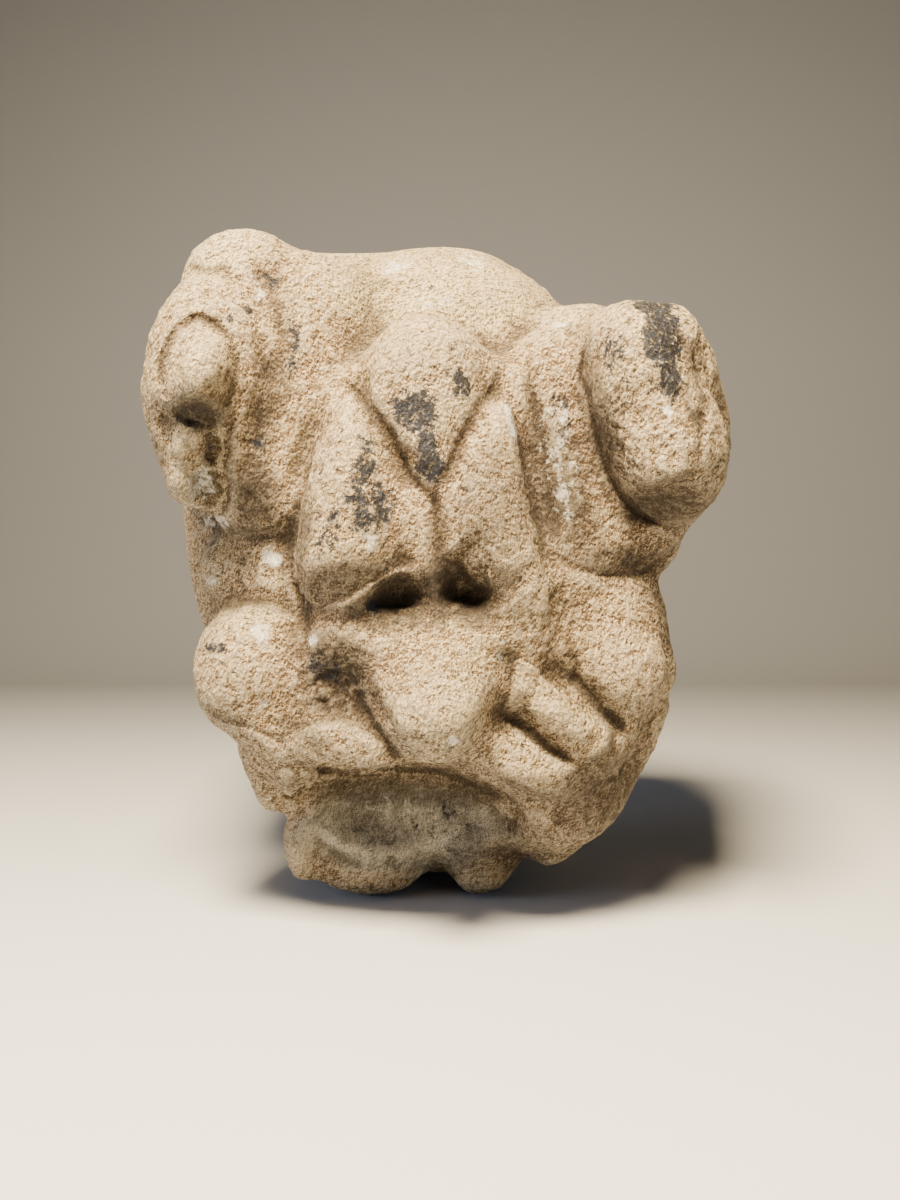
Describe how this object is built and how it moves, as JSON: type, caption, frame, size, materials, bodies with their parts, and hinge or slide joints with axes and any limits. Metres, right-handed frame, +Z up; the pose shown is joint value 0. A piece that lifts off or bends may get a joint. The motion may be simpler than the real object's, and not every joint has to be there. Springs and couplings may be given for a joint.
{
  "type": "stone corbel",
  "caption": "Weathered sandstone corbel carved as a grotesque beast head, with bulging eyes, a wedge-shaped brow boss, forked nose and blunt muzzle, broken away beneath the lip.",
  "frame": {"origin": "on the flat wall face, on the middle line of the block, level with the brow's lower part and 141 mm below the top bed", "axes": "+Y out of the wall face into the wall, so the head looks along -Y; +X to the viewer's right; +Z up"},
  "size_m": [0.2548, 0.1959, 0.2876],
  "materials": {
    "sandstone": "weathered"
  },
  "bodies": {
    "root": {"carved_corbel": "sandstone"}
  },
  "joints": []
}
